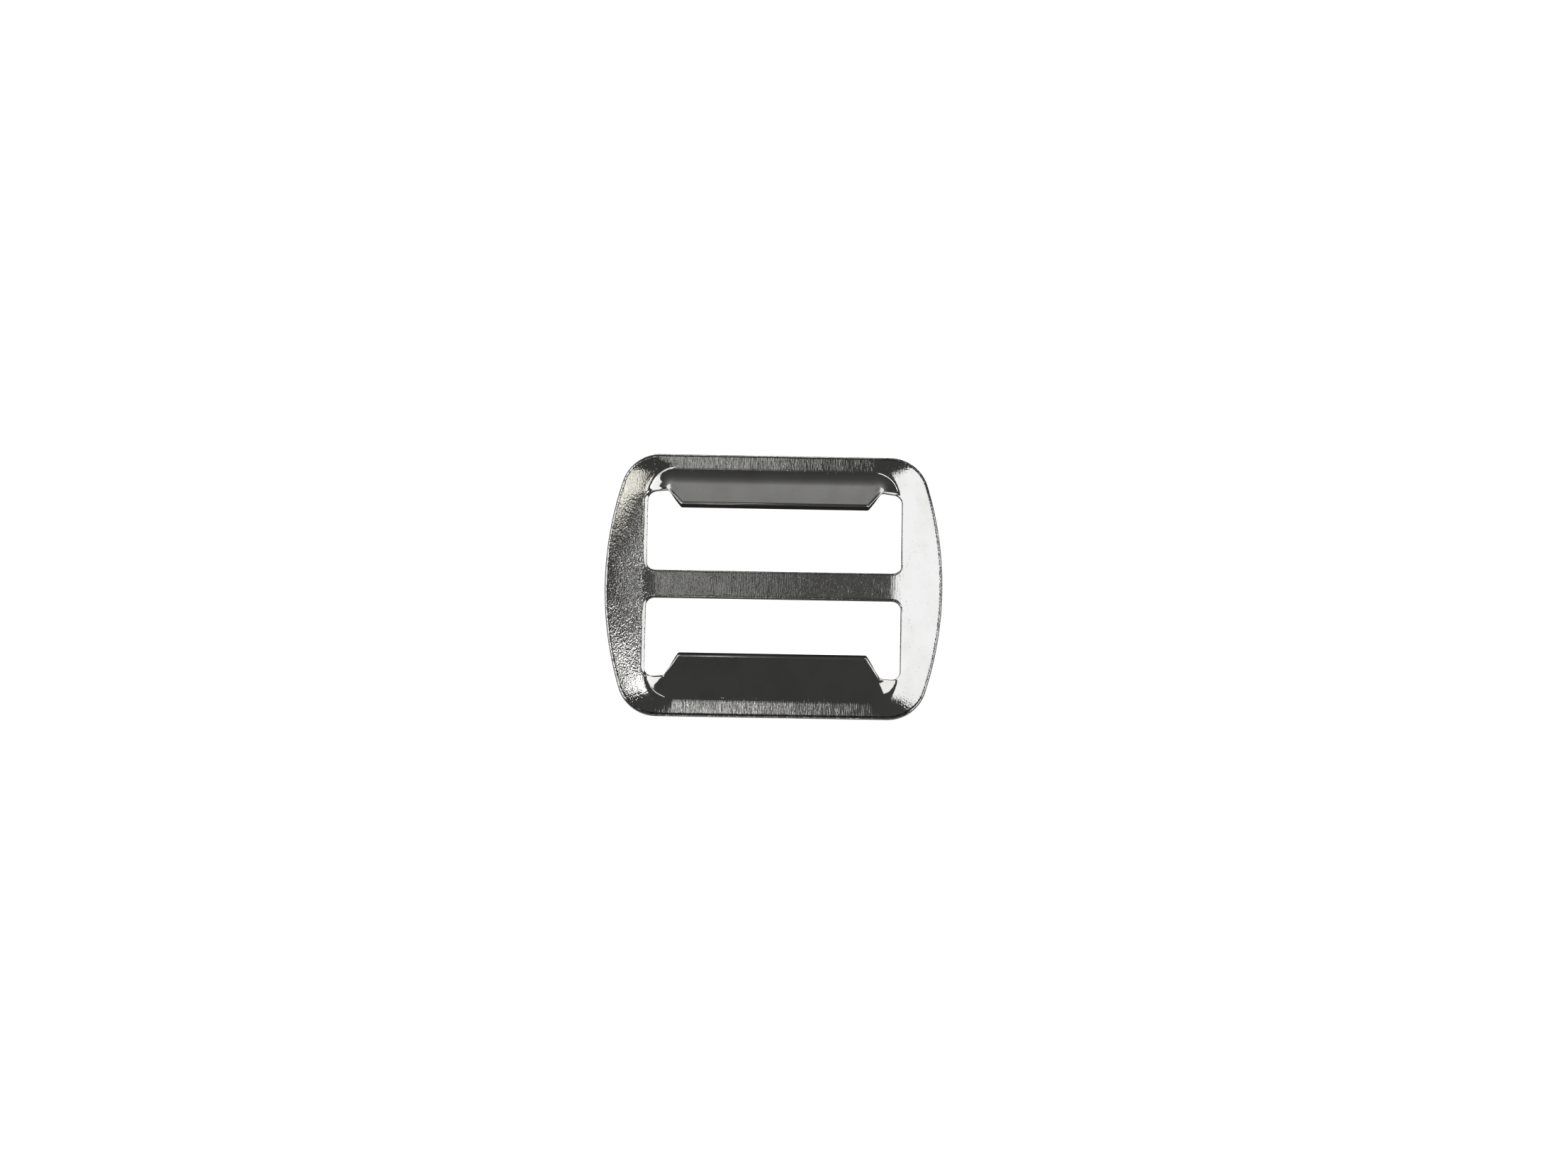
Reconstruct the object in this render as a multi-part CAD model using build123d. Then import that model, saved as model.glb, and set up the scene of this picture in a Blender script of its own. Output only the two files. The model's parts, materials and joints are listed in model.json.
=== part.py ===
from build123d import *
import os
from math import atan, cos, radians, sin, sqrt, tan

# A pressed steel buckle slider for 38 mm webbing: one blank, pierced, crowned and
# bent. Millimetres. +X runs along the centre bar, +Y across the two slots, +Z out of
# the front face. The origin lies under the middle of the bar, on the plane that the
# outer rim rests on.

# Stock and strap
sheet = 1.0
webbing_width = 38.0
webbing_play = 0.2          # on each side of the webbing

# Outline of the frame
side_rail = 6.3             # rail beside the slots, at its widest
frame_depth = 40.0          # over both long rails
side_bow_radius = 53.0
outline_corner = 6.0

# Centre bar and the slots beside it
bar_width = 4.2
slot_gap = 8.8              # clear of the bar, under the lip
slot_corner = 1.3

# Crown of the frame, between the rim and the crease
long_rail = 2.55            # rim to crease, beside a lip
bar_end_step = 0.15         # from the crease out to a slot's side
crease_corner = 4.3
crown_rise = 0.6

# Lips, turned up from the crease towards the bar
crease_angle = 20.0         # where the bend starts, a little steeper than the crown
lip_angle = 40.0
bend_radius = 5.0           # inside of the bend
bend_steps = 5
lip_edge_length = 28.1
lip_root_length = 31.6
lip_corner = 0.4            # at the ends of the free edge
relief_to_crease = 3.35     # from the crease to the notch beside a lip
fan_corner = 1.4            # corner that the bend runs out to, past the end of a lip
fan_clear = 0.3             # flat of the lip past the corner of its free edge

# Finish of the cut edges
rim_rounding = 0.4
edge_rounding = 0.25

# What follows from them
slot_half = webbing_width / 2 + webbing_play
half_width = slot_half + side_rail
half_depth = frame_depth / 2
bar_half = bar_width / 2
crease_x = slot_half - bar_end_step
crease_y = half_depth - long_rail
lip_edge_y = bar_half + slot_gap
relief_y = crease_y - relief_to_crease
crown_slope = atan(crown_rise / long_rail)
crease_slope = radians(crease_angle)
lip_slope = radians(lip_angle)
rim_top = sheet / cos(crown_slope)
bar_top = rim_top + crown_rise
band_half = bar_half + slot_gap / 2     # the flat band that holds the bar
under_turn = radians(6.0)               # how far the bend's former starts below the crown
past = 2.0                              # how far a former or cutter runs past its work


def outlineFace(height):
    """The frame's outline: straight long rails, bowed sides, rounded corners."""
    bow_centre = half_width - side_bow_radius
    corner_x = bow_centre + sqrt(side_bow_radius**2 - half_depth**2)
    sides = Line((-corner_x, half_depth), (corner_x, half_depth))
    sides += ThreePointArc((corner_x, half_depth), (half_width, 0), (corner_x, -half_depth))
    sides += Line((corner_x, -half_depth), (-corner_x, -half_depth))
    sides += ThreePointArc((-corner_x, -half_depth), (-half_width, 0), (-corner_x, half_depth))
    face = make_face(sides)
    return Pos(0, 0, height) * fillet(face.vertices(), outline_corner)


def creaseFace(inset, height):
    """Rounded rectangle parallel to the crease, inset from it."""
    width = 2 * (crease_x - inset)
    depth = 2 * (crease_y - inset)
    return Pos(0, 0, height) * RectangleRounded(width, depth, crease_corner - inset)


def bandAbove(height):
    """Everything over the flat band, from a height up."""
    low = (Align.CENTER, Align.CENTER, Align.MIN)
    return Pos(0, 0, height) * Box(3 * half_width, 2 * band_half, half_depth, align=low)


def crownFormer(drop):
    """Solid under the crown's surface at a depth below the front face."""
    mean = (crease_slope + crown_slope) / 2
    reach = drop / cos((crease_slope - crown_slope) / 2)
    rim = outlineFace(rim_top - drop / cos(crown_slope))
    crease = creaseFace(reach * sin(mean), bar_top - reach * cos(mean))
    return loft([rim, crease], ruled=True) - bandAbove(bar_top - drop)


def bendPoint(drop, slope):
    """Where the bend has turned to a slope: how far in from the crease, how high."""
    inset = (bend_radius + drop) * sin(slope) - bend_radius * sin(crease_slope)
    height = bar_top + bend_radius * cos(crease_slope) - (bend_radius + drop) * cos(slope)
    return inset, height


def lipFormer(drop):
    """Solid under the bend and the two lips, at a depth below their front face."""
    first = crease_slope - under_turn
    turn = (lip_slope - first) / bend_steps
    bend = [creaseFace(*bendPoint(drop, first + turn * step)) for step in range(bend_steps + 1)]
    inset, height = bendPoint(drop, lip_slope)
    root_y = crease_y - inset
    top_y = lip_edge_y - past
    # The flat of the lip runs from the corners of the bend to just past its free edge.
    root_x = crease_x - crease_corner
    widening = (lip_edge_length / 2 + fan_clear - root_x) / (root_y - lip_edge_y)
    top_x = root_x + widening * (root_y - top_y) + fan_corner
    top = RectangleRounded(2 * top_x, 2 * top_y, fan_corner)
    top = Pos(0, 0, height + (root_y - top_y) * tan(lip_slope)) * top
    stack = loft(bend) + loft([bend[-1], top], ruled=True)
    return stack - bandAbove(0)


def crownedSheet():
    """The blank after pressing, not yet pierced."""
    upper = extrude(outlineFace(0), rim_top) + crownFormer(0)
    rim = upper.edges().filter_by_position(Axis.Z, rim_top - 0.001, rim_top + 0.001)
    upper = fillet(rim, rim_rounding) + lipFormer(0)
    return upper - (crownFormer(sheet) + lipFormer(sheet))


def lipFace():
    """The front face of the +Y lip: X along the crease, -Y up the lip."""
    inset, height = bendPoint(0, lip_slope)
    return Plane((0, crease_y - inset, height), (1, 0, 0), (0, sin(lip_slope), cos(lip_slope)))


def lipEdge():
    """How far up the lip's face its free edge lies, as a local Y."""
    sink = sheet * sin(lip_slope)
    return (lip_edge_y + sink - lipFace().origin.Y) / cos(lip_slope)


def lipBlank():
    """Prism square to the +Y lip that holds its trapezoid outline."""
    edge = lipEdge()
    sink = sheet / 2 * sin(lip_slope)
    root = (relief_y + sink - lipFace().origin.Y) / cos(lip_slope)
    taper = (lip_root_length - lip_edge_length) / 2 / (root - edge)
    edge_x = lip_edge_length / 2
    base = root + past
    base_x = edge_x + taper * (base - edge)
    corners = [(-edge_x, edge), (edge_x, edge), (base_x, base), (-base_x, base)]
    outline = make_face(Polyline(*corners, close=True))
    outline = fillet(outline.vertices().sort_by(Axis.Y)[:2], lip_corner)
    return lipFace() * extrude(outline, past * 3, both=True)


def slotPlan():
    """The +Y slot as it is pierced, before the lip is counted."""
    middle = Pos(0, (relief_y + bar_half) / 2)
    return middle * RectangleRounded(2 * slot_half, relief_y - bar_half, slot_corner)


def slotCutter():
    """What is pierced out on the +Y side of the bar, all but the lip."""
    return extrude(Pos(0, 0, -past) * slotPlan(), half_depth) - lipBlank()


def slotRounding():
    """What dulling takes off the front edge of the +Y slot, up to the crease."""
    depth = 2 * edge_rounding
    around = Rectangle(3 * slot_half, 3 * relief_y)
    plate = extrude(Pos(0, 0, bar_top - depth) * (around - slotPlan()), depth)
    mouth = plate.edges().filter_by_position(Axis.Z, bar_top - 0.001, bar_top + 0.001)
    mouth = mouth.filter_by(lambda edge: abs(edge.center().X) < slot_half + past)
    mouth = mouth.filter_by(lambda edge: bar_half - past < edge.center().Y < relief_y + past)
    dulled = fillet(mouth, edge_rounding)
    bend_side = Box(2 * crease_x, crease_y, past, align=(Align.CENTER, Align.MIN, Align.CENTER))
    return plate - dulled - Pos(0, relief_y - slot_corner, bar_top) * bend_side


def lipRounding():
    """What dulling takes off the front arris of the +Y lip's free edge."""
    inward = Pos(0, edge_rounding, -edge_rounding)
    square = Box(lip_edge_length + past, edge_rounding, edge_rounding)
    round_bar = Cylinder(edge_rounding, lip_edge_length + 2 * past, rotation=(0, 90, 0))
    sliver = Pos(0, edge_rounding / 2, -edge_rounding / 2) * square - inward * round_bar
    return lipFace() * Pos(0, lipEdge(), 0) * sliver


def sliderFrame():
    """The whole slider: one pressed piece."""
    frame = crownedSheet()
    for turn in (0, 180):
        for cut in (slotCutter(), slotRounding(), lipRounding()):
            frame = frame - Rot(0, 0, turn) * cut
    return frame


frame = sliderFrame().solids()[0]
frame.label = "slider_frame"
os.makedirs("parts", exist_ok=True)
export_step(frame, "parts/slider_frame.step")
print("slider_frame", round(frame.volume, 1), "mm3", frame.bounding_box())
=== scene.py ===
import json
import math

import bpy
import numpy as np
from mathutils import Matrix, Vector
from mathutils.geometry import delaunay_2d_cdt
from mathutils.kdtree import KDTree


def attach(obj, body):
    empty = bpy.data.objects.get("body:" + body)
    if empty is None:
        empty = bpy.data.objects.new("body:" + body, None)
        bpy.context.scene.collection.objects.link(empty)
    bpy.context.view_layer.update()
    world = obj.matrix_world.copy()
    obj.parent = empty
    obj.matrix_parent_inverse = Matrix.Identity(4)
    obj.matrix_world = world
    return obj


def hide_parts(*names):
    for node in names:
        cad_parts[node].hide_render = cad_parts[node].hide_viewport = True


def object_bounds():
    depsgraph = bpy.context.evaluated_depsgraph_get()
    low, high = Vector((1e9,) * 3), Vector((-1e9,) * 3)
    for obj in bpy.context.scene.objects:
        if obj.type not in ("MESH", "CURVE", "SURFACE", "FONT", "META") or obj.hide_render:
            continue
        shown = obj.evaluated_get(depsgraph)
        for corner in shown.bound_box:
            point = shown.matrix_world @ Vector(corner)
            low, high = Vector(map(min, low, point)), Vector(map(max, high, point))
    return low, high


mm = 0.001
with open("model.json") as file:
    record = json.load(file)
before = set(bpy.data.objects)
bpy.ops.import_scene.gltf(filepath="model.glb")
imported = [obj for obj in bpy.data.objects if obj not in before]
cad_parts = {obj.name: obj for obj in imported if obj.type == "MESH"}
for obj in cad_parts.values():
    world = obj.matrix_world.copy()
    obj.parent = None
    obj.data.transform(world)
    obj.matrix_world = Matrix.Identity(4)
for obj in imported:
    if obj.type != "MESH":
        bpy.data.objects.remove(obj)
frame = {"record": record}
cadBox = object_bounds()
print("frame loaded", [[round(v / mm, 2) for v in corner] for corner in cadBox])


# Node trees are written as expressions: a Wire is one output socket, and arithmetic on
# wires adds the Math nodes.
class Wire:
    def __init__(self, tree, socket):
        self.tree = tree
        self.socket = socket

    def math(self, operation, *others):
        values = dict(enumerate((self, *others)))
        return self.tree.add("ShaderNodeMath", {"operation": operation}, values)

    def __add__(self, other):
        return self.math("ADD", other)

    def __radd__(self, other):
        return self.math("ADD", other)

    def __sub__(self, other):
        return self.math("SUBTRACT", other)

    def __rsub__(self, other):
        return self.math("MULTIPLY_ADD", -1.0, other)

    def __mul__(self, other):
        return self.math("MULTIPLY", other)

    def __rmul__(self, other):
        return self.math("MULTIPLY", other)

    def __truediv__(self, other):
        return self.math("DIVIDE", other)

    def __neg__(self):
        return self.math("MULTIPLY", -1.0)

    def __lt__(self, other):
        return self.math("LESS_THAN", other)

    def __gt__(self, other):
        return self.math("GREATER_THAN", other)

    def atLeast(self, other):
        return self.math("MAXIMUM", other)

    def atMost(self, other):
        return self.math("MINIMUM", other)

    def asShare(self):
        return self.atLeast(0.0).atMost(1.0)

    def absolute(self):
        return self.math("ABSOLUTE")

    def root(self):
        return self.math("SQRT")


class Tree:
    def __init__(self, nodes, links):
        self.nodes = nodes
        self.links = links

    # Any node: its type, its own settings, then the values or wires of its sockets.
    def add(self, kind, settings=None, sockets=None, out=0):
        node = self.nodes.new(kind)
        for name, value in (settings or {}).items():
            setattr(node, name, value)
        for name, value in (sockets or {}).items():
            self.plug(node.inputs[name], value)
        return Wire(self, node.outputs[out]) if len(node.outputs) else None

    def plug(self, socket, value):
        if isinstance(value, Wire):
            self.links.new(value.socket, socket)
        else:
            socket.default_value = value

    # Every output of a wire's node, by its name.
    def outputs(self, wire):
        return {output.name: Wire(self, output) for output in wire.socket.node.outputs}

    def scaled(self, vector, factor):
        sockets = {"Vector": vector, "Scale": factor}
        return self.add("ShaderNodeVectorMath", {"operation": "SCALE"}, sockets)

    def axes(self, vector):
        return self.outputs(self.add("ShaderNodeSeparateXYZ", {}, {"Vector": vector})).values()

    # By number, since the sockets for colours share their names with those for values.
    def mixColours(self, share, low, high):
        return self.add("ShaderNodeMix", {"data_type": "RGBA"}, {0: share, 6: low, 7: high}, out=2)

    # A straight ramp from one (place, shade) to another.
    def ramp(self, wire, *stops):
        shades = self.add("ShaderNodeValToRGB", {}, {"Fac": wire})
        for element, (place, shade) in zip(shades.socket.node.color_ramp.elements, stops):
            element.position = place
            element.color = (shade, shade, shade, 1.0)
        return shades


# The node tree of a new material or world, emptied.
def emptyTree(owner):
    owner.use_nodes = True
    owner.node_tree.nodes.clear()
    return Tree(owner.node_tree.nodes, owner.node_tree.links)


# Sizes of the blank in mm. What the frame states is read from it: the overall length and
# depth, and the sheet from the bar's two faces.
mounts = {mount["name"]: mount for mount in frame["record"]["mounts"]}
barTop = mounts["bar_front"]["pos_m"][2] / mm
blankSizes = {
    "halfWidth": cadBox[1][0] / mm,
    "halfDepth": cadBox[1][1] / mm,
    "sheet": barTop - mounts["bar_back"]["pos_m"][2] / mm,
    "bowRadius": 53.0,
    "outlineCorner": 6.0,
    "slotHalf": 19.2,
    "slotCorner": 1.3,
    "barHalf": 2.1,
    "reliefY": 14.1,
    "lipRootHalf": 16.2,
    "lipRootCorner": 0.35,
    "lipEdgeHalf": 14.05,
    "lipEdgeY": 11.22,        # of the middle of the sheet
    "lipEdgeCorner": 0.4,
    "rimRoll": (0.36, 0.1, 0.26),       # where the punch rolled the skin down: the
    "leftRoll": (0.7, 0.22, 0.05),      # roll's width, its depth, and the radius
    "rightRoll": (0.22, 0.05, 0.04),    # between it and the cut
    "barRoll": (0.32, 0.1, 0.05),
    "lipRoll": (0.2, 0.05, 0.2),
    "rollFade": 2.5,          # over which one roll turns into the next
    "rollShare": 0.7,         # of the way over an edge; the rest is the radius
    "backRound": 0.14,
    "skirt": 0.06,            # keeps the roundings' shading off the flat skins
    "rollSteps": 5,
    "arrisSteps": 4,
    "backSteps": 4,
    "edgeStep": 0.25,         # mesh spacing along the edges
    "skinStep": 0.3,          # and over the skins,
    "skinClear": 0.7,         # which keep this share of it clear of the edges
}


# A closed loop is a list of arcs (centre x, y, radius, from angle, to angle), joined by
# straight lines. Each row of the result is a point and its normal into the metal, which
# lies on the loop's left.
def loopPoints(arcs, step):
    fewest = 3                # steps round an arc
    slack = 0.01              # in steps: arcs that meet get no points between them
    rows = []
    for centreX, centreY, radius, start, end in arcs:
        count = max(fewest, math.ceil(abs(end - start) * radius / step))
        inward = -1 if end > start else 1
        for angle in np.linspace(start, end, count + 1):
            out = (math.cos(angle), math.sin(angle))
            rows.append((centreX + radius * out[0], centreY + radius * out[1],
                         inward * out[0], inward * out[1]))
    filled = []
    for here, there in zip(rows, rows[1:] + rows[:1]):
        count = math.ceil(math.dist(here[:2], there[:2]) / step - slack)
        for k in range(count):
            filled.append([low + (high - low) * k / count for low, high in zip(here, there)])
    return np.array(filled)


# The arc that rounds one corner of a polygon.
def cornerArc(before, corner, after, radius):
    corner = Vector(corner)
    back = (Vector(before) - corner).normalized()
    ahead = (Vector(after) - corner).normalized()
    half = back.angle(ahead) / 2
    centre = corner + (back + ahead).normalized() * radius / math.sin(half)
    start = corner + back * radius / math.tan(half) - centre
    end = corner + ahead * radius / math.tan(half) - centre
    startAngle = math.atan2(start.y, start.x)
    turn = math.remainder(math.atan2(end.y, end.x) - startAngle, 2 * math.pi)
    return (centre.x, centre.y, radius, startAngle, startAngle + turn)


# The frame's outline: straight long rails, bowed sides and rounded corners.
def outlineLoop(s):
    bowCentre = s["halfWidth"] - s["bowRadius"]
    cornerY = s["halfDepth"] - s["outlineCorner"]
    reach = s["bowRadius"] - s["outlineCorner"]
    cornerX = bowCentre + math.sqrt(reach ** 2 - cornerY ** 2)
    lean = math.asin(cornerY / reach)
    quarter = math.pi / 2
    arcs = [
        (bowCentre, 0, s["bowRadius"], -lean, lean),
        (cornerX, cornerY, s["outlineCorner"], lean, quarter),
        (-cornerX, cornerY, s["outlineCorner"], quarter, math.pi - lean),
        (-bowCentre, 0, s["bowRadius"], math.pi - lean, math.pi + lean),
        (-cornerX, -cornerY, s["outlineCorner"], math.pi + lean, 3 * quarter),
        (cornerX, -cornerY, s["outlineCorner"], 3 * quarter, 4 * quarter - lean),
    ]
    return loopPoints(arcs, s["edgeStep"])


# The slot on one side of the bar, run clockwise so that the metal lies on its left.
def slotLoop(s, side):
    half = [
        (s["slotHalf"], s["barHalf"], s["slotCorner"]),
        (s["slotHalf"], s["reliefY"], s["slotCorner"]),
        (s["lipRootHalf"], s["reliefY"], s["lipRootCorner"]),
        (s["lipEdgeHalf"], s["lipEdgeY"], s["lipEdgeCorner"]),
    ]
    corners = half + [(-x, y, radius) for x, y, radius in reversed(half)]
    corners = [(side * x, side * y, radius) for x, y, radius in reversed(corners)]
    arcs = []
    for k, (x, y, radius) in enumerate(corners):
        before = corners[k - 1][:2]
        after = corners[(k + 1) % len(corners)][:2]
        arcs.append(cornerArc(before, (x, y), after, radius))
    return loopPoints(arcs, s["edgeStep"])


# The cut edge's rings, front to back: how far into the metal and how far down each point
# of the loop goes, whether the ring lies on the cut, and how far over the roll it is.
def edgeRings(s, roll):
    wide, deep, arris = roll.T
    steep = np.arctan2(2 * deep, wide)
    start = arris * (1 - np.sin(steep))
    rings = [(wide + start + s["skirt"], 0 * deep, 0, 0)]
    for share in np.linspace(0, 1, s["rollSteps"] + 1):
        rings.append((wide * (1 - share) + start, deep * share ** 2, 0, share * s["rollShare"]))
    for share in np.linspace(0, 1, s["arrisSteps"] + 1)[1:]:
        turn = steep + (math.pi / 2 - steep) * share
        drop = deep + arris * (np.cos(steep) - np.cos(turn))
        over = s["rollShare"] + (1 - s["rollShare"]) * share
        rings.append((arris * (1 - np.sin(turn)), drop, int(share == 1), over))
    for share in np.linspace(0, 1, s["backSteps"] + 1):
        turn = share * math.pi / 2
        inset = s["backRound"] * (1 - math.cos(turn))
        drop = s["sheet"] - s["backRound"] * (1 - math.sin(turn))
        rings.append((inset + 0 * deep, drop + 0 * deep, int(share < 1), 1))
    rings.append((s["backRound"] + s["skirt"] + 0 * deep, s["sheet"] + 0 * deep, 0, 1))
    return rings


# The roll at every point of a slot's loop: the bar's, the sides' or the lip's; and how
# far each point is from belonging to the lip.
def rollAlong(s, loop):
    away = np.clip((np.abs(loop[:, 0]) - s["lipRootHalf"]) / s["rollFade"], 0, 1)[:, None]
    up = np.clip((np.abs(loop[:, 1]) - s["barHalf"]) / s["rollFade"], 0, 1)[:, None]
    side = np.where(loop[:, :1] < 0, s["leftRoll"], s["rightRoll"])
    roll = np.array(s["lipRoll"]) * (1 - away) + side * away
    return np.array(s["barRoll"]) * (1 - up) + roll * up, (1 - (1 - away) * up)[:, 0]


# Which of many points lie in the metal, by counting the loops' crossings.
def insideMetal(points, loops):
    inside = np.zeros(len(points), bool)
    for loop in loops:
        for (startX, startY), (endX, endY) in zip(loop, np.roll(loop, -1, 0)):
            crosses = (startY > points[:, 1]) != (endY > points[:, 1])
            slope = (endX - startX) / ((endY - startY) or 1)
            inside ^= crosses & (points[:, 0] < startX + (points[:, 1] - startY) * slope)
    return inside


# Fills one skin between the loops: points on a hexagonal grid, then a triangulation.
def fillSkin(s, loops):
    step = s["skinStep"]
    edge = np.concatenate(loops)
    tree = KDTree(len(edge))
    for k, (x, y) in enumerate(edge):
        tree.insert((x, y, 0), k)
    tree.balance()
    low, high = edge.min(0), edge.max(0)
    rise = step * math.sqrt(0.75)      # from row to row
    grid = [(x, low[1] + row * rise)
            for row in range(1, int((high[1] - low[1]) / rise))
            for x in np.arange(low[0] + step * (0.5 + 0.5 * (row % 2)), high[0], step)]
    grid = np.array(grid)
    grid = grid[insideMetal(grid, loops)]
    grid = [point for point in grid if tree.find((*point, 0))[2] > s["skinClear"] * step]
    points = [Vector(point) for point in (*edge, *grid)]
    edges = []
    first = 0
    for loop in loops:
        last = first + len(loop)
        edges += [(k, k + 1 if k + 1 < last else first) for k in range(first, last)]
        first = last
    fillHull, tolerance = 1, 1e-7
    corners, _, faces, sources = delaunay_2d_cdt(points, edges, [], fillHull, tolerance)[:4]
    nowhere = Vector((0, 0))
    middles = np.array([sum((corners[k] for k in face), nowhere) / 3 for face in faces])
    faces = [face for face, kept in zip(faces, insideMetal(middles, loops)) if kept]
    return corners, faces, sources


# The flat blank: a band of rings along each cut edge, then the skins between the bands.
def flatBlank(s):
    half = s["sheet"] / 2
    loops = [outlineLoop(s), slotLoop(s, 1), slotLoop(s, -1)]
    # The rim shares also say where the painted shade goes: a dark line round the whole rim, and along
    # the slots' edges except at the lips.
    rolls = [(np.tile(s["rimRoll"], (len(loops[0]), 1)), np.ones(len(loops[0])))]
    rolls += [(roll, -rimShadeShare) for roll, rimShadeShare in (rollAlong(s, loop) for loop in loops[1:])]
    vertices, faces = [], []
    marks = {"cutEdge": [], "cutDepth": [], "rimShare": []}     # the last is below 0 in a slot
    starts, skins = [], ([], [])
    for loop, (roll, rimShadeShare) in zip(loops, rolls):
        count = len(loop)
        starts.append((len(vertices), count))
        rings = edgeRings(s, roll)
        outlines = [loop[:, :2] + loop[:, 2:] * ring[0][:, None] for ring in rings]
        for points, (_, drop, onCut, over) in zip(outlines, rings):
            vertices += [(x, y, half - down) for (x, y), down in zip(points, drop)]
            marks["cutEdge"] += [float(onCut)] * count
            marks["cutDepth"] += [down / s["sheet"] for down in drop]
            marks["rimShare"] += list(over * rimShadeShare)
        skins[0].append(outlines[0])
        skins[1].append(outlines[-1])
        for level in range(len(rings) - 1):
            top = starts[-1][0] + level * count
            low = top + count
            for k in range(count):
                after = (k + 1) % count
                faces.append((top + k, low + k, low + after, top + after))
    for level, height in ((0, half), (-1, -half)):
        owned = []
        for start, count in starts:
            first = start + (level % len(rings)) * count
            owned += range(first, first + count)
        points, skinFaces, sources = fillSkin(s, skins[level])
        index = {}
        for k in sorted({corner for face in skinFaces for corner in face}):
            if sources[k][0] < len(owned):
                index[k] = owned[sources[k][0]]
            else:
                index[k] = len(vertices)
                vertices.append((points[k].x, points[k].y, height))
                marks["cutEdge"].append(0.0)
                marks["cutDepth"].append(0.5 - height / s["sheet"])
                marks["rimShare"].append(0.0)
        for face in skinFaces:
            corners = [index[k] for k in face]
            faces.append(corners if level == 0 else corners[::-1])
    mesh = bpy.data.meshes.new("pressedFrame")
    mesh.from_pydata([Vector(v) * mm for v in vertices], [], faces)
    for name, values in marks.items():
        mesh.attributes.new(name, "FLOAT", "POINT").data.foreach_set("value", values)
    mesh.update()
    return mesh


blank = flatBlank(blankSizes)
print("flat blank", len(blank.vertices), "points", len(blank.polygons), "faces")

# What the press does to the blank, in mm and degrees, all measured on the middle of the
# sheet. These are the named inputs of the press's node tree.
pressSizes = {
    "halfWidth": blankSizes["halfWidth"],
    "halfDepth": blankSizes["halfDepth"],
    "bowRadius": blankSizes["bowRadius"],
    "outlineCorner": blankSizes["outlineCorner"],
    "rimHeight": 0.514,
    "barBand": 2.4,            # half the depth of the flat that holds the bar
    "bandFade": 1.8,           # and how far the bend beside it takes to rise
    "creaseX": 19.05,          # the crease is a rounded rectangle
    "creaseY": 17.557,
    "creaseCorner": 4.4,
    "creaseHeight": 1.147,
    "creaseSoft": 0.7,         # width over which the crease turns
    "barSoft": 1.0,            # and how much more it has at the ends of the bar,
    "barShift": 0.8,           # how far in it lies there,
    "barEnd": 8.0,             # and the half depth this takes to fade
    "crownBulge": 0.3,
    "bendRadius": 16.0,
    "creaseAngle": 27.0,
    "lipAngle": 39.0,
    "lipCorner": 1.05,         # what the crease's corner tightens to through the bend
    "lipDepth": 5.82,          # of the lip's flat in plan, to where its corners end
    "fanX": 14.22,             # where the fan corner's centre ends
    "fanY": 7.5,
    "fanCorner": 1.4,
    "rimUpright": 1.5,         # how far in from the rim the cut edge turns with the sheet
    "notchFrom": 15.6,         # the cuts turn upright again beside a lip, between these
    "notchTo": 16.5,
}


def hypotenuse(a, b):
    return (a * a + b * b).root()


# A share from 0 to 1 that starts and ends gently.
def eased(share):
    return share * share * (3.0 - 2.0 * share)


# Larger of a wire and 0, turned softly over a width to either side of 0.
def softly(wire, width):
    turned = (wire + width).atLeast(0.0).atMost(width * 2.0)
    return turned * turned / (width * 4.0) + (wire - width).atLeast(0.0)


# How far inside the frame's outline a point of the plan lies.
def insideOutline(x, y, size):
    reach = size["bowRadius"] - size["outlineCorner"]
    cornerY = size["halfDepth"] - size["outlineCorner"]
    bowX = size["halfWidth"] - size["bowRadius"]
    cornerX = bowX + (reach * reach - cornerY * cornerY).root()
    fromBow = hypotenuse(x - bowX, y) - reach
    straight = fromBow.atLeast(y - cornerY)
    dx = x - cornerX
    dy = y - cornerY
    inCorner = (dy * (cornerX - bowX) - dx * cornerY > 0.0) * (dx > 0.0)
    return size["outlineCorner"] - straight - (hypotenuse(dx, dy) - straight) * inCorner


# How far along a row of circles a point lies, from 0 on the first to 1 on the last: their
# radius grows by a length while their centre moves by a shift.
def insideCone(x, y, radius, shiftX, shiftY, growth):
    a = shiftX * shiftX + shiftY * shiftY - growth * growth
    b = x * shiftX + y * shiftY + radius * growth
    c = x * x + y * y - radius * radius
    return (b + (b * b - a * c).atLeast(0.0).root()) / a


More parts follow.
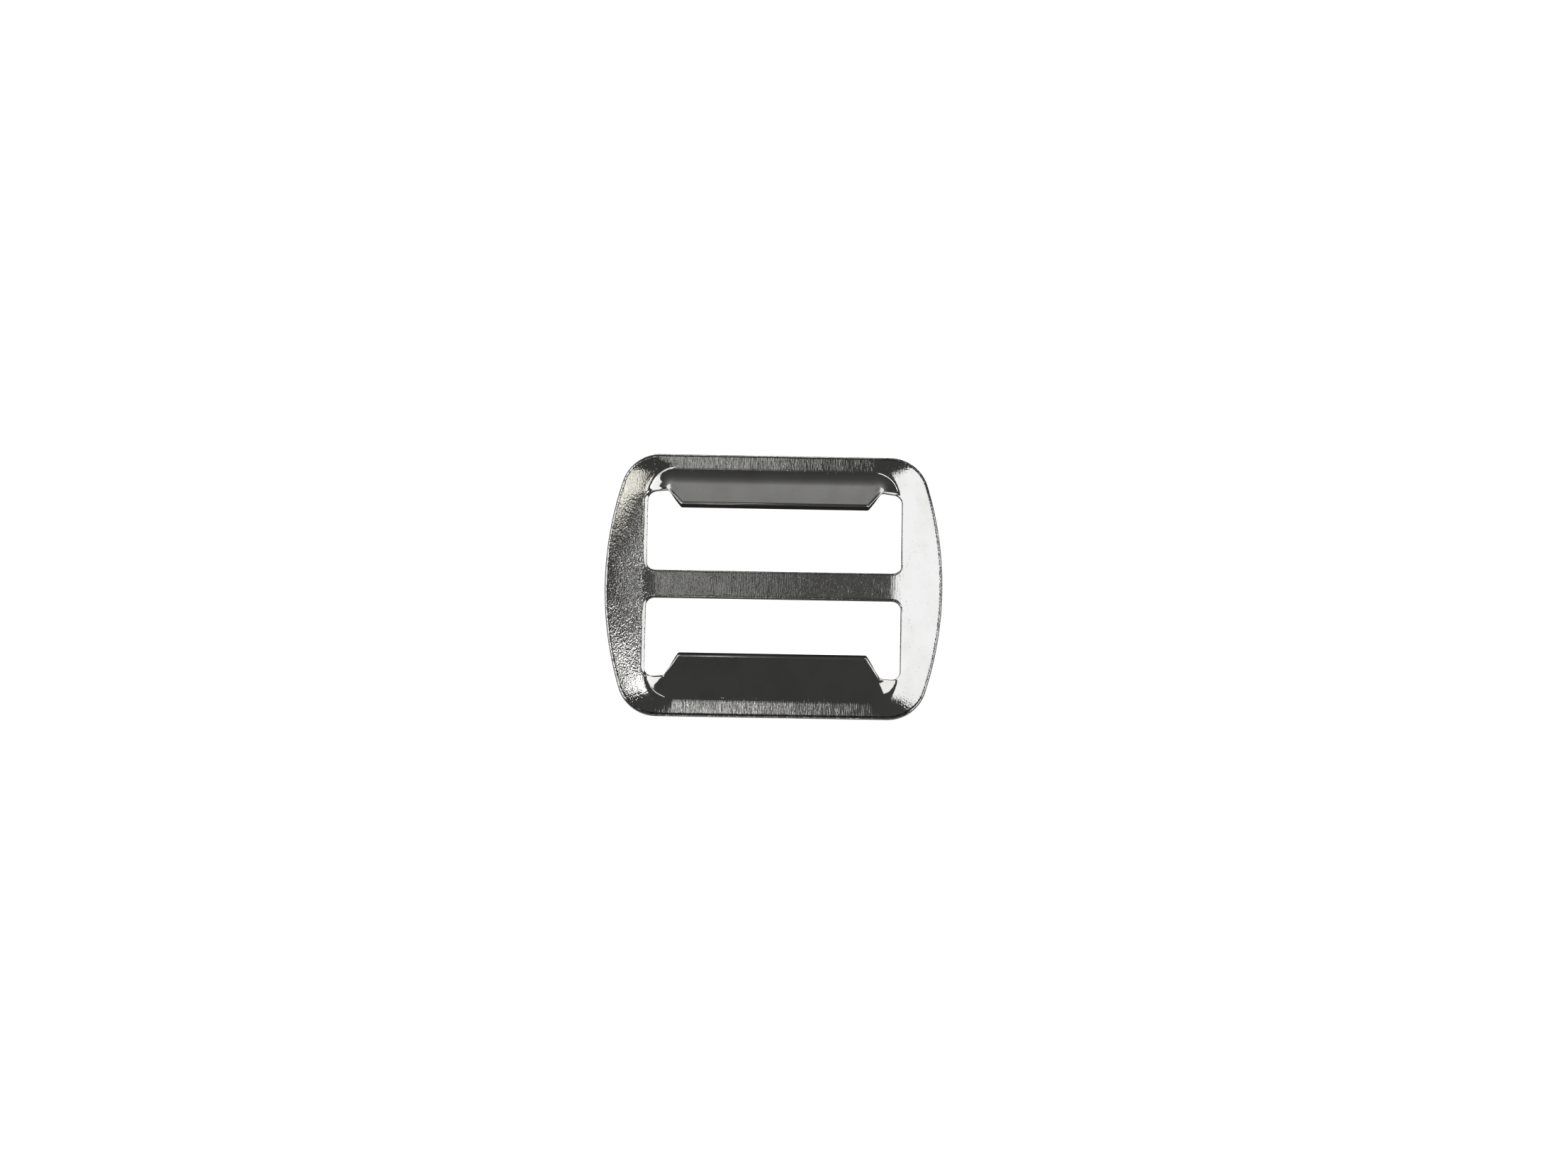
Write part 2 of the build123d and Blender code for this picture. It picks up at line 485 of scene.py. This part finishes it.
# The height of the sheet's middle over any point of the plan, and how far the point lies
# past the crease towards a lip.
def pressedHeight(x, y, size):
    x = x.absolute()
    y = y.absolute()
    centreX = size["creaseX"] - size["creaseCorner"]
    centreY = size["creaseY"] - size["creaseCorner"]
    dx = x - centreX
    dy = y - centreY
    outward = hypotenuse(dx.atLeast(0.0), dy.atLeast(0.0)) + dx.atLeast(dy).atMost(0.0)
    sinCrease = size["creaseAngle"].math("RADIANS").math("SINE")
    sinLip = size["lipAngle"].math("RADIANS").math("SINE")
    bendReach = size["bendRadius"] * (sinLip - sinCrease)
    # Through the bend the corner tightens, so its centre moves out as the contours move in.
    tighter = size["creaseCorner"] - size["lipCorner"]
    shift = tighter - bendReach
    straight = size["creaseCorner"] - dx.atLeast(dy)
    inCorner = dx * bendReach > shift * (size["creaseCorner"] - dy)
    inCorner = inCorner * (dy * bendReach > shift * (size["creaseCorner"] - dx))
    turned = insideCone(dx, dy, size["creaseCorner"], shift, shift, -tighter) * bendReach
    inside = straight + (turned - straight) * inCorner
    outside = size["creaseCorner"] - outward
    reached = outside + (inside - outside) * (outside > 0.0)
    farFromBar = (y / size["barEnd"]).atMost(1.0)
    nearBar = 1.0 - eased(farFromBar)
    into = reached - nearBar * size["barShift"]
    depth = softly(into, size["creaseSoft"] + size["barSoft"] * nearBar)

    rim = insideOutline(x, y, size).atLeast(0.0)
    share = rim / (rim + depth - into)
    rise = size["creaseHeight"] - size["rimHeight"]
    crown = size["rimHeight"] + rise * (share + size["crownBulge"] * share * (1.0 - share))

    cosCrease = (1.0 - sinCrease * sinCrease).root()
    sine = (sinCrease + depth / size["bendRadius"]).atMost(sinLip)
    bend = size["bendRadius"] * (cosCrease - (1.0 - sine * sine).root())

    # Past the bend the contours shrink evenly to the lip's top: the flat or the fan corner.
    flat = (size["creaseY"] - bendReach - y) / size["lipDepth"]
    shiftX = size["fanX"] - centreX - shift
    shiftY = size["fanY"] - centreY - shift
    widening = size["fanCorner"] - size["lipCorner"]
    fan = insideCone(dx - shift, dy - shift, size["lipCorner"], shiftX, shiftY, widening)
    inFan = dx - shift > flat * shiftX
    climb = flat + (fan - flat) * inFan
    lip = climb.atLeast(0.0) * size["lipDepth"] * size["lipAngle"].math("RADIANS").math("TANGENT")
    lip = lip * (into > bendReach)
    offBar = eased(((y - size["barBand"]) / size["bandFade"]).asShare())
    return crown + (bend + lip) * offBar, into * offBar


# The press: it moves each point of the blank to its place in the pressed frame.
def pressTree(sizes):
    group = bpy.data.node_groups.new("slider press", "GeometryNodeTree")
    group.interface.new_socket("Geometry", in_out="INPUT", socket_type="NodeSocketGeometry")
    for name in sizes:
        group.interface.new_socket(name, in_out="INPUT", socket_type="NodeSocketFloat")
    group.interface.new_socket("plating", in_out="INPUT", socket_type="NodeSocketMaterial")
    group.interface.new_socket("Geometry", in_out="OUTPUT", socket_type="NodeSocketGeometry")
    tree = Tree(group.nodes, group.links)
    size = tree.outputs(tree.add("NodeGroupInput"))
    x, y, z = tree.axes(tree.scaled(tree.add("GeometryNodeInputPosition"), 1 / mm))

    step = 0.05                # mm to each side, over which the slopes are measured
    height, intoLip = pressedHeight(x, y, size)
    slopes = []
    for stepX, stepY in ((step, 0.0), (0.0, step)):
        ahead = pressedHeight(x + stepX, y + stepY, size)[0]
        behind = pressedHeight(x - stepX, y - stepY, size)[0]
        slopes.append((ahead - behind) / (2 * step))
    length = (slopes[0] * slopes[0] + slopes[1] * slopes[1] + 1.0).root()

    # Points off the sheet's middle go square to it, or straight up where a cut is upright.
    fromRim = insideOutline(x.absolute(), y.absolute(), size)
    square = (fromRim / size["rimUpright"]).asShare()
    notchWidth = size["notchTo"] - size["notchFrom"]
    square = square * (1.0 - ((x.absolute() - size["notchFrom"]) / notchWidth).asShare())
    lean = z / length * square
    rise = z / length * (square + (1.0 - square) * length * length)
    moved = tree.add("ShaderNodeCombineXYZ", {}, {
        "X": x - slopes[0] * lean, "Y": y - slopes[1] * lean, "Z": height + rise})
    pressed = tree.add("GeometryNodeSetPosition", {}, {
        "Geometry": size["Geometry"], "Position": tree.scaled(moved, mm)})
    marked = tree.add("GeometryNodeStoreNamedAttribute", {"data_type": "FLOAT", "domain": "POINT"}, {
        "Geometry": pressed, "Name": "intoLip", "Value": intoLip})
    smooth = tree.add("GeometryNodeSetShadeSmooth", {}, {"Geometry": marked, "Shade Smooth": True})
    real = tree.add("GeometryNodeRealizeInstances", {}, {"Geometry": smooth})
    plated = tree.add("GeometryNodeSetMaterial", {}, {"Geometry": real, "Material": size["plating"]})
    tree.add("NodeGroupOutput", {}, {"Geometry": plated})
    return group


# Presses the blank, and keeps the result as the piece's own mesh.
def pressFrame(blank, sizes, material):
    piece = bpy.data.objects.new("pressedFrame", blank)
    bpy.context.scene.collection.objects.link(piece)
    modifier = piece.modifiers.new("press", "NODES")
    modifier.node_group = pressTree(sizes)
    values = {**sizes, "plating": material}
    for item in modifier.node_group.interface.items_tree:
        if item.in_out == "INPUT" and item.name in values:
            modifier[item.identifier] = values[item.name]
    evaluated = piece.evaluated_get(bpy.context.evaluated_depsgraph_get())
    mesh = bpy.data.meshes.new_from_object(evaluated)
    piece.modifiers.remove(modifier)
    piece.data = mesh
    return piece


# The finish: nickel over steel that was brushed along Y before plating, then barrelled.
# A size is along X, Y and Z, in mm.
platingLook = {
    "colour": (0.665, 0.66, 0.645, 1.0),
    "stain": (0.56, 0.55, 0.53, 1.0),
    "stainSize": (4.0, 6.0, 4.0),
    "stainShare": (0.42, 0.75),         # of its noise, where it starts and is full
    "stainDepth": 0.7,
    "edgeTint": (0.5, 0.5, 0.49, 1.0),       # of what it mirrors at a grazing angle
    "roughness": 0.035,
    "calmRoughness": 0.065,    # away from the side rails
    "cutColour": (0.045, 0.0445, 0.043, 1.0),
    "cutRoughness": 0.5,
    "burnished": 0.1,          # share of the thickness that the punch left smooth,
    "burnishedFade": 0.08,     # over which it turns dull,
    "burnishedSway": 0.25,     # how far that line wanders,
    "burnishedRough": 0.06,    # and how much rougher it is than the skin
    "brushSize": (0.16, 1.5, 1.5),
    "brushDepth": 0.0068,
    "brushWorn": 0.5,          # share of it that is lost on the side rails
    "grainSize": (0.26, 0.312, 0.26),
    "grainTurn": (0.4, 0.5, 0.3),       # keeps its cells from lining up with the rails
    "grainDepth": 0.0034,
    "peelFrom": 18.8,          # the stretched side rails have an orange peel
    "peelWidth": 1.2,
    "peelDepth": 0.0125,
    "shoulder": (5.0, 11.0, 0.4),       # from where to where it calms down, and to what
    "waveSize": (1.3, 2.6, 1.3),
    "waveDepth": 0.009,
    "lipFade": (-0.5, 1.5),    # how far past the crease all this fades,
    "lipShare": 0.02,          # and how much of it is left on the lips
    "speckSize": (0.2, 0.2, 0.2),       # nicks, most of them on the crease
    "speckShare": (0.73, 0.84),
    "speckDepth": 0.008,
    "lipSpecks": 0.15,
    "creaseNicks": 6.0,
    "nickedAt": 0.1,           # mm past the crease,
    "nickedFall": 3.0,         # the share of them lost with each mm from there,
    "nickedReach": 13.0,       # and how far along X they go
    "paintedRimShade": (0.12, 0.12, 0.117, 1.0),     # the painted shade: a dark line round the rim
    "rimFrom": 0.01,           # where a rim's roll starts,
    "rimBand": (0.06, 0.38),   # the line, of the way over the roll,
    "rimSway": 1.2,            # and how far its beads swing it
    "rimEdge": 0.68,           # again from here outwards
    "rimEdgeSway": 0.4,
    "beadSize": (0.22, 0.22, 0.22),
    "shearSize": (0.12, 0.12, 1.5),     # strokes of the punch on the cut edges
    "shearDepth": 0.006,
}


def nickelPlating(look):
    material = bpy.data.materials.new("nickel plating")
    tree = emptyTree(material)
    here = tree.outputs(tree.add("ShaderNodeTexCoord"))["Object"]
    inMillimetres = tree.scaled(here, 1 / mm)
    x, y, _ = tree.axes(inMillimetres)

    def noise(size, octaves, roughness=0.5, turn=(0, 0, 0)):
        scale = tuple(1 / length for length in size)
        cells = tree.add("ShaderNodeMapping", {}, {
            "Vector": inMillimetres, "Rotation": turn, "Scale": scale})
        return tree.add("ShaderNodeTexNoise", {}, {
            "Vector": cells, "Scale": 1.0, "Detail": octaves, "Roughness": roughness})

    # A noise as a swing to either side of 0.
    def sway(noised, amount):
        return (noised - 0.5) * amount

    def mark(name):
        return tree.outputs(tree.add("ShaderNodeAttribute", {"attribute_name": name}))["Fac"]

    cut = mark("cutEdge")
    into = mark("intoLip")
    first, last = look["lipFade"]
    rail = tree.ramp((into - first) / (last - first), (0.0, 1.0), (1.0, look["lipShare"]))
    rail = rail * (1.0 - cut)
    across = x.absolute()
    peel = ((across - look["peelFrom"]) / look["peelWidth"]).asShare()
    first, last, calm = look["shoulder"]
    peel = peel * (1.0 - ((y - first) / (last - first)).asShare() * (1.0 - calm))

    brush = noise(look["brushSize"], octaves=1.0)
    grain = noise(look["grainSize"], octaves=1.0, roughness=0.6, turn=look["grainTurn"])
    wave = noise(look["waveSize"], octaves=0.0)
    shear = noise(look["shearSize"], octaves=2.0)
    relief = brush * look["brushDepth"] * (1.0 - peel * look["brushWorn"]) + wave * look["waveDepth"]
    relief = relief + grain * (look["grainDepth"] + peel * look["peelDepth"])
    start, full = look["speckShare"]
    specks = tree.ramp(noise(look["speckSize"], octaves=1.0), (start, 0.0), (full, 1.0))
    nicked = (1.0 - (into - look["nickedAt"]).absolute() * look["nickedFall"]).atLeast(0.0)
    nicked = nicked * (across < look["nickedReach"]) * look["creaseNicks"]
    nicks = specks * look["speckDepth"] * (rail.atLeast(look["lipSpecks"]) + nicked)
    relief = relief * rail + nicks + shear * look["shearDepth"] * cut
    bump = tree.add("ShaderNodeBump", {}, {"Strength": 1.0, "Distance": mm, "Height": relief})

    ragged = mark("cutDepth") + sway(shear, look["burnishedSway"])
    start = look["burnished"]
    broken = tree.ramp(ragged, (start, 0.0), (start + look["burnishedFade"], 1.0)) * cut
    start, full = look["stainShare"]
    stain = tree.ramp(noise(look["stainSize"], octaves=3.0), (start, 0.0), (full, 1.0))
    colour = tree.mixColours(stain * look["stainDepth"], look["colour"], look["stain"])
    colour = tree.mixColours(broken, colour, look["cutColour"])
    rough = look["calmRoughness"] + peel * (look["roughness"] - look["calmRoughness"])
    rough = rough + broken * (look["cutRoughness"] - look["roughness"]) + cut * look["burnishedRough"]

    # Painted shade: a dark line is painted in the rim's roll and over the outer part of every cut
    # edge except the lips'. It stands in for the dark that the rounded edges mirror.
    beads = noise(look["beadSize"], octaves=0.0)
    rim = mark("rimShare")
    low, high = look["rimBand"]
    beaded = rim + sway(beads, look["rimSway"])
    paintedShade = (beaded > low) * (beaded < high) * (rim > look["rimFrom"])
    beaded = rim.absolute() + sway(beads, look["rimEdgeSway"])
    paintedShade = paintedShade.atLeast(beaded > look["rimEdge"])
    colour = tree.mixColours(paintedShade, colour, look["paintedRimShade"])
    shader = tree.add("ShaderNodeBsdfPrincipled", {}, {
        "Base Color": colour, "Metallic": 1.0, "Roughness": rough, "Normal": bump,
        "Specular Tint": look["edgeTint"]})
    tree.add("ShaderNodeOutputMaterial", {}, {"Surface": shader})
    return material


slider = pressFrame(blank, pressSizes, nickelPlating(platingLook))
slider.name = "sliderFrame"
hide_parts("slider_frame")
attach(slider, "root")
print("pressed frame", len(slider.data.polygons), "faces")

# The camera looks almost straight down on the slider, from a little in front of it.
cameraLook = {
    "distance": 0.6,
    "elevation": 81.2,         # degrees above the floor
    "roll": 1.0,
    "lens": 91.3,
    "sensor": 36.0,
    "nearest": 0.01,
    "aimRight": 0.00158,       # of the slider's middle, in the camera's own directions
    "aimUp": -0.00034,
}


def placeCamera(look, target):
    data = bpy.data.cameras.new("camera")
    data.lens = look["lens"]
    data.sensor_width = look["sensor"]
    data.clip_start = look["nearest"]
    camera = bpy.data.objects.new("camera", data)
    bpy.context.scene.collection.objects.link(camera)
    elevation = math.radians(look["elevation"])
    back = Vector((0, -math.cos(elevation), math.sin(elevation)))
    roll = Matrix.Rotation(math.radians(look["roll"]), 3, "Z")
    turn = back.to_track_quat("Z", "Y").to_matrix() @ roll
    aim = target + turn @ Vector((look["aimRight"], look["aimUp"], 0))
    camera.matrix_world = Matrix.Translation(aim + back * look["distance"]) @ turn.to_4x4()
    bpy.context.scene.camera = camera


barMiddle = (barTop - blankSizes["sheet"] / 2) * mm
placeCamera(cameraLook, Vector((0, 0, barMiddle)))

white = (1.0, 1.0, 1.0)
overheadHeight = 0.8


# An area light of some brightness; its power is that of a plain panel of its size.
def areaLight(name, shape, size, brightness, tint=white):
    data = bpy.data.lights.new(name, "AREA")
    data.shape = shape
    data.size, data.size_y = size
    data.color = tint
    data.energy = brightness * math.pi * data.size * data.size_y
    light = bpy.data.objects.new(name, data)
    bpy.context.scene.collection.objects.link(light)
    return light


# Where a direction, in degrees from straight up, meets the plane of the overhead lights.
def overhead(angle):
    return overheadHeight * math.tan(math.radians(angle))


# The tubes overhead, in banks with gaps between their tubes: the part of the sky that a
# bank covers as seen from the slider, in degrees from straight up, to the right and to
# the back. The share of the bank that its tubes fill, and their brightness, are given for
# its left and its right end.
tubeBanks = {
    "shoulderTube": {"right": (-25.0, -16.0), "back": (13.5, 25.0), "count": 2,
                     "filled": (0.85, 0.8), "light": (1.4, 1.2), "tint": (1.0, 0.97, 0.88)},
    "middleTube": {"right": (-19.5, -11.5), "back": (7.5, 13.5), "count": 2,
                   "filled": (0.04, 0.2), "light": (0.45, 1.0)},
    "kneeTube": {"right": (-21.0, -11.5), "back": (4.5, 7.5), "count": 2,
                 "filled": (0.08, 0.25), "light": (0.7, 1.4)},
    "footTube": {"right": (-24.0, -11.5), "back": (-4.0, 5.0), "count": 3,
                 "filled": (0.2, 0.5), "light": (3.6, 5.4)},
    "innerFootTube": {"right": (-11.5, -6.5), "back": (-4.0, 6.5), "count": 2,
                      "filled": (0.75, 0.8), "light": (2.0, 2.9)},
    "innerShoulderTube": {"right": (-11.5, -6.5), "back": (10.5, 16.0), "count": 2,
                          "filled": (0.7, 0.8), "light": (1.7, 2.4)},
    "backTube": {"right": (-9.0, 0.8), "back": (36.0, 49.0), "count": 2,
                 "filled": (0.5, 0.5), "light": (0.55, 0.65)},
    "backEdgeTube": {"right": (-9.0, 0.8), "back": (49.0, 56.0), "count": 2,
                     "filled": (0.5, 0.5), "light": (0.26, 0.26)},
    "frontTube": {"right": (-3.5, -1.0), "back": (-29.0, -18.0), "count": 2,
                  "filled": (0.6, 0.6), "light": (0.7, 2.3)},
    "frontEdgeTube": {"right": (-3.5, -1.0), "back": (-35.0, -29.0), "count": 2,
                      "filled": (0.6, 0.6), "light": (0.5, 0.9)},
    "frontSideTube": {"right": (-1.0, 2.4), "back": (-29.0, -18.0), "count": 2,
                      "filled": (0.5, 0.5), "light": (0.16, 0.17)},
    "barTube": {"right": (-5.5, -0.5), "back": (5.0, 12.5), "count": 2,
                "filled": (0.4, 0.4), "light": (0.55, 0.5)},
    "barSideTube": {"right": (-0.5, 7.5), "back": (5.0, 12.5), "count": 2,
                    "filled": (0.5, 0.5), "light": (0.06, 0.16)},
}


def placeTube(name, right, back, brightness, tint):
    ends = [[overhead(angle) for angle in side] for side in (right, back)]
    size = [high - low for low, high in ends]
    light = areaLight(name, "RECTANGLE", size, brightness, tint)
    light.location = [sum(end) / 2 for end in ends] + [overheadHeight]


def placeBank(name, bank):
    low, high = bank["right"]
    pitch = (high - low) / bank["count"]
    ends = (bank["filled"], bank["light"])
    for k in range(bank["count"]):
        share = k / (bank["count"] - 1)
        filled, brightness = (left + (right - left) * share for left, right in ends)
        middle = low + pitch * (k + 0.5)
        half = pitch * filled / 2
        covered = (middle - half, middle + half)
        placeTube(f"{name}{k}", covered, bank["back"], brightness, bank.get("tint", white))


for name, bank in tubeBanks.items():
    placeBank(name, bank)

# The one oval box: its middle in the same angles, and its two widths in metres.
ovalBox = {
    "right": 30.6,
    "back": 11.5,
    "size": (0.78, 0.71),
    "light": 1.28,
    "tint": (0.99, 1.0, 1.02),
}


def placeOvalBox(box):
    ovalShare = math.pi / 4
    light = areaLight("ovalBox", "ELLIPSE", box["size"], box["light"] * ovalShare, box["tint"])
    light.location = (overhead(box["right"]), overhead(box["back"]), overheadHeight)


placeOvalBox(ovalBox)

# Large panels round the slider, low on the horizon: azimuth from the right hand side
# towards the back and elevation, in degrees; widths; brightness.
panels = {
    "leftPanel": {"azimuth": 168.0, "elevation": 32.0, "size": (1.5, 0.62), "light": 1.3},
    "rightPanel": {"azimuth": -12.0, "elevation": 24.0, "size": (1.3, 0.35), "light": 1.2},
    "backLeftPanel": {"azimuth": 128.0, "elevation": 45.0, "size": (0.8, 0.13), "light": 1.2},
    "frontLeftPanel": {"azimuth": 222.0, "elevation": 48.0, "size": (0.5, 0.08), "light": 1.0},
    "glintPanel": {"azimuth": 55.0, "elevation": 33.0, "size": (0.7, 0.06), "light": 2.0},
}
# The haze over the back horizon: strips whose light falls off with their elevation.
haze = {
    "light": 0.37,
    "fall": 4.6,
    "stops": (0.0, 1.5, 3.0, 5.0, 7.5, 10.0, 13.0, 17.0, 22.0),
    "azimuth": 90.0,
    "width": 5.0,
    "away": 1.7,
}


def placePanel(name, panel, away=1.0):
    light = areaLight(name, "RECTANGLE", panel["size"], panel["light"])
    azimuth = math.radians(panel["azimuth"])
    elevation = math.radians(panel["elevation"])
    level = math.cos(elevation)
    direction = Vector((math.cos(azimuth) * level, math.sin(azimuth) * level, math.sin(elevation)))
    turn = direction.to_track_quat("Z", "Y").to_matrix().to_4x4()
    light.matrix_world = Matrix.Translation(direction * away) @ turn


def placeHaze(look):
    for low, high in zip(look["stops"], look["stops"][1:]):
        middle = (low + high) / 2
        height = 2 * look["away"] * math.tan(math.radians(high - low) / 2)
        brightness = look["light"] * math.exp(-middle / look["fall"])
        strip = {"azimuth": look["azimuth"], "elevation": middle, "size": (look["width"], height),
                 "light": brightness}
        placePanel("hazePanel", strip, look["away"])


for name, panel in panels.items():
    placePanel(name, panel)
placeHaze(haze)

worldLook = {"colour": (1, 1, 1, 1), "light": 0.056}


def surroundWith(look):
    world = bpy.data.worlds.new("studio")
    tree = emptyTree(world)
    air = tree.add("ShaderNodeBackground", {}, {"Color": look["colour"], "Strength": look["light"]})
    tree.add("ShaderNodeOutputWorld", {}, {"Surface": air})
    bpy.context.scene.world = world


surroundWith(worldLook)

# The white board glows a little round the slider, and falls off further away.
floorLook = {
    "side": 3.0,
    "colour": (0.9, 0.9, 0.9, 1.0),
    "roughness": 0.9,
    "glow": 0.8,
    "farGlow": 0.06,
    "near": 0.2,
    "far": 0.5,
}


def layFloor(look):
    half = look["side"] / 2
    corners = [(-half, -half, 0), (half, -half, 0), (half, half, 0), (-half, half, 0)]
    mesh = bpy.data.meshes.new("floor")
    mesh.from_pydata(corners, [], [(0, 1, 2, 3)])
    material = bpy.data.materials.new("white board")
    tree = emptyTree(material)
    here = tree.outputs(tree.add("ShaderNodeTexCoord"))["Object"]
    away = tree.add("ShaderNodeVectorMath", {"operation": "LENGTH"}, {"Vector": here})
    glow = tree.add("ShaderNodeMapRange", {"interpolation_type": "SMOOTHSTEP"}, {
        "Value": tree.outputs(away)["Value"], "From Min": look["near"], "From Max": look["far"],
        "To Min": look["glow"], "To Max": look["farGlow"]})
    shade = tree.mixColours(glow, (0, 0, 0, 1), (1, 1, 1, 1))
    shader = tree.add("ShaderNodeBsdfPrincipled", {}, {
        "Base Color": look["colour"], "Roughness": look["roughness"],
        "Emission Color": shade, "Emission Strength": 1.0})
    tree.add("ShaderNodeOutputMaterial", {}, {"Surface": shader})
    mesh.materials.append(material)
    floor = bpy.data.objects.new("floor", mesh)
    bpy.context.scene.collection.objects.link(floor)


layFloor(floorLook)
bpy.context.scene.view_settings.view_transform = "Standard"
print("studio ready")
